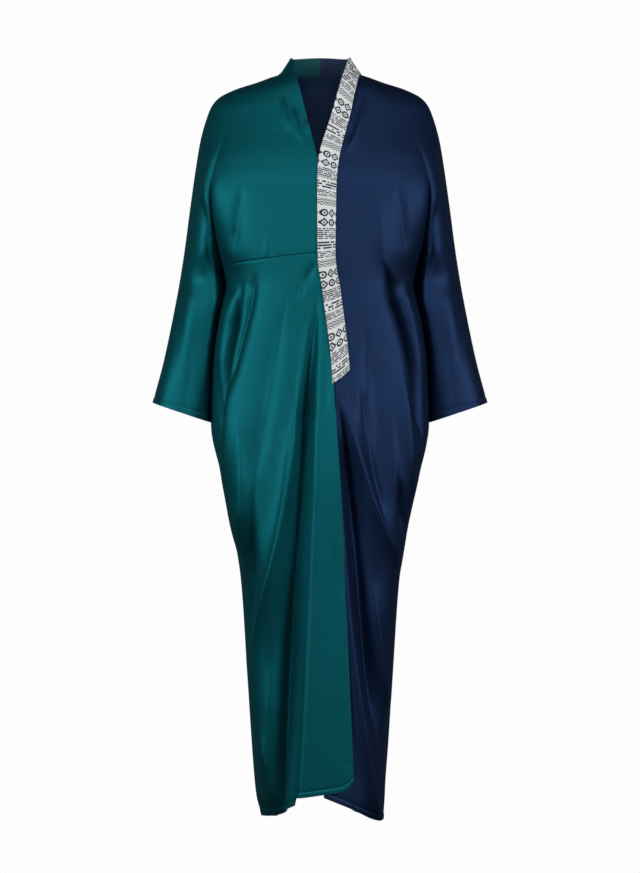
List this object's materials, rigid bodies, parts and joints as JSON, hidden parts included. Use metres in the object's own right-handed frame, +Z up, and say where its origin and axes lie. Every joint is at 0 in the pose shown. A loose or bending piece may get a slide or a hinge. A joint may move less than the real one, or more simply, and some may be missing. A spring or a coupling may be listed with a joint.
{
  "type": "kaftan",
  "caption": "Long satin kaftan in teal and navy halves, in its worn hollow form, with wide sleeves cut in one with the body, a deep neck edged by a pale patterned band, and a draped front.",
  "frame": {"origin": "midway between the shoulders at the height of the neck's base, where the wearer's shoulders hold the garment", "axes": "+Z up, +X to the wearer's left, -Y to the front"},
  "size_m": [0.622, 0.2692, 1.4102],
  "materials": {
    "teal_satin": "smooth satin, soft sheen",
    "navy_satin": "smooth satin, soft sheen",
    "printed_band": "white satin with a small black pattern"
  },
  "bodies": {
    "root": {"front_right_upper": "teal_satin", "front_right_lower": "teal_satin", "front_left": "navy_satin", "back": "navy_satin", "neck_stand_right": "teal_satin", "neck_stand_left": "navy_satin", "neck_band": "printed_band"}
  },
  "joints": []
}
